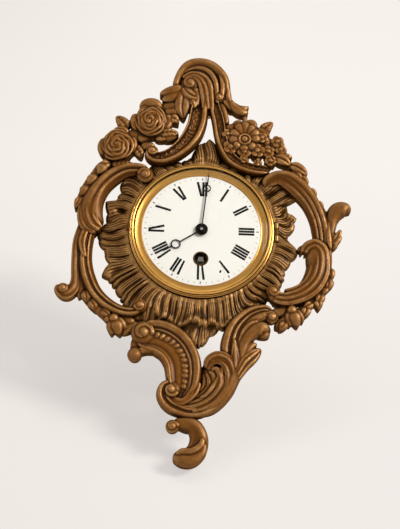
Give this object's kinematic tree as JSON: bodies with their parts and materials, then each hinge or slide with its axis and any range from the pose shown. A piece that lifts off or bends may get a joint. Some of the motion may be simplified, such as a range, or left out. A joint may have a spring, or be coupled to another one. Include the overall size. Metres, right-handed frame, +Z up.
{
  "type": "cartel wall clock",
  "caption": "Rococo cartel wall clock: cast bronze scroll frame, hinged brass bezel with convex glass, enamel dial, moon hands and a spring movement in a drum.",
  "frame": {"origin": "where the dial axis meets the wall, on the flat rear cap", "axes": "+X to the viewer's right, -Y to the viewer, +Z up"},
  "size_m": [0.2155, 0.0438, 0.3197],
  "materials": {
    "bronze": "patinated",
    "brass": "polished",
    "steel": "satin",
    "black": "gloss",
    "enamel": "gloss",
    "glass": "clear"
  },
  "bodies": {
    "case": {"rocaille_surround": "bronze", "crest_scroll": "bronze", "left_scroll": "bronze", "right_scroll": "bronze", "base_scroll_left": "bronze", "base_scroll_right": "bronze", "foot_scroll": "bronze", "rose_spray": "bronze", "flower_spray": "bronze", "drum": "brass", "rear_cap": "brass", "straps": "brass", "strap_screws": "steel", "hanger": "brass", "hanger_screws": "steel", "hinge_pin": "brass", "sight_ring": "brass", "dial": "enamel", "winding_grommet": "brass", "front_plate": "brass", "back_plate": "brass", "pillars": "brass", "pillar_screws": "steel", "click_spring": "steel"},
    "bezel_door": {"bezel_ring": "brass", "glass": "glass", "glass_ring": "brass"},
    "minute": {"cannon_pinion": "steel", "minute_hand": "black", "hand_nut": "black"},
    "hour": {"hour_wheel": "brass", "hour_hand": "black"},
    "minute_work": {"minute_wheel": "brass"},
    "centre": {"centre_arbor": "steel", "centre_wheel": "brass"},
    "intermediate": {"intermediate_arbor": "steel", "intermediate_wheel": "brass"},
    "barrel": {"barrel": "brass", "barrel_cap": "brass", "mainspring": "steel"},
    "third": {"third_arbor": "steel", "third_wheel": "brass"},
    "fourth": {"fourth_arbor": "steel", "fourth_wheel": "brass"},
    "escape": {"escape_arbor": "steel", "escape_wheel": "brass"},
    "winding": {"winding_arbor": "steel", "ratchet_wheel": "steel"},
    "click": {"click": "steel"},
    "lever": {"pallet_lever": "steel"},
    "balance": {"balance_staff": "steel", "balance_wheel": "brass", "hairspring": "steel"},
    "regulator": {"regulator": "steel"}
  },
  "joints": [
    {"name": "bezel_hinge", "type": "hinge", "parent": "case", "child": "bezel_door", "pos_m": [0.0552, -0.0341, 0], "axis": [0, 0, 1], "range_deg": [0, 110]},
    {"name": "minute_turn", "type": "hinge", "parent": "case", "child": "minute", "pos_m": [0, -0.045, 0], "axis": [0, 1, 0], "continuous": true},
    {"name": "hour_turn", "type": "hinge", "parent": "case", "child": "hour", "pos_m": [0, -0.045, 0], "axis": [0, 1, 0], "continuous": true},
    {"name": "minute_work_turn", "type": "hinge", "parent": "case", "child": "minute_work", "pos_m": [-0.00816, -0.045, 0], "axis": [0, 1, 0], "continuous": true},
    {"name": "fourth_turn", "type": "hinge", "parent": "case", "child": "fourth", "pos_m": [-0.00089, -0.045, 0.01587], "axis": [0, 1, 0], "continuous": true},
    {"name": "third_turn", "type": "hinge", "parent": "case", "child": "third", "pos_m": [0.00868, -0.045, 0.01034], "axis": [0, 1, 0], "continuous": true},
    {"name": "centre_turn", "type": "hinge", "parent": "case", "child": "centre", "pos_m": [0, -0.045, 0], "axis": [0, 1, 0], "continuous": true},
    {"name": "intermediate_turn", "type": "hinge", "parent": "case", "child": "intermediate", "pos_m": [-0.01258, -0.045, -0.00839], "axis": [0, 1, 0], "continuous": true},
    {"name": "barrel_turn", "type": "hinge", "parent": "case", "child": "barrel", "pos_m": [0, -0.045, -0.0225], "axis": [0, 1, 0], "continuous": true},
    {"name": "escape_turn", "type": "hinge", "parent": "case", "child": "escape", "pos_m": [-0.00872, -0.045, 0.01952], "axis": [0, 1, 0], "continuous": true},
    {"name": "winding_turn", "type": "hinge", "parent": "case", "child": "winding", "pos_m": [0, -0.045, -0.0225], "axis": [0, 1, 0], "range_deg": [0, 1440], "deforming": ["mainspring"]},
    {"name": "click_lift", "type": "hinge", "parent": "case", "child": "click", "pos_m": [-0.00996, -0.045, -0.01675], "axis": [0, 1, 0], "range_deg": [-12, 0], "stiffness_Nm_per_rad": 0.0005, "deforming": ["click_spring"]},
    {"name": "lever_rock", "type": "hinge", "parent": "case", "child": "lever", "pos_m": [-0.01098, -0.045, 0.02572], "axis": [0, 1, 0], "range_deg": [-5, 5]},
    {"name": "balance_swing", "type": "hinge", "parent": "case", "child": "balance", "pos_m": [-0.00708, -0.045, 0.03129], "axis": [0, 1, 0], "range_deg": [-120, 120], "stiffness_Nm_per_rad": 0.000007, "deforming": ["hairspring"]},
    {"name": "regulator_set", "type": "hinge", "parent": "case", "child": "regulator", "pos_m": [-0.00708, -0.045, 0.03129], "axis": [0, 1, 0], "range_deg": [-20, 20]}
  ],
  "couplings": [
    {"joint": "hour_turn", "follows": "minute_turn", "ratio": 0.083333},
    {"joint": "minute_work_turn", "follows": "minute_turn", "ratio": -0.33333},
    {"joint": "third_turn", "follows": "fourth_turn", "ratio": -0.13333},
    {"joint": "centre_turn", "follows": "fourth_turn", "ratio": 0.016667},
    {"joint": "intermediate_turn", "follows": "fourth_turn", "ratio": -0.0027778},
    {"joint": "barrel_turn", "follows": "fourth_turn", "ratio": 0.00034722},
    {"joint": "escape_turn", "follows": "fourth_turn", "ratio": -8}
  ]
}
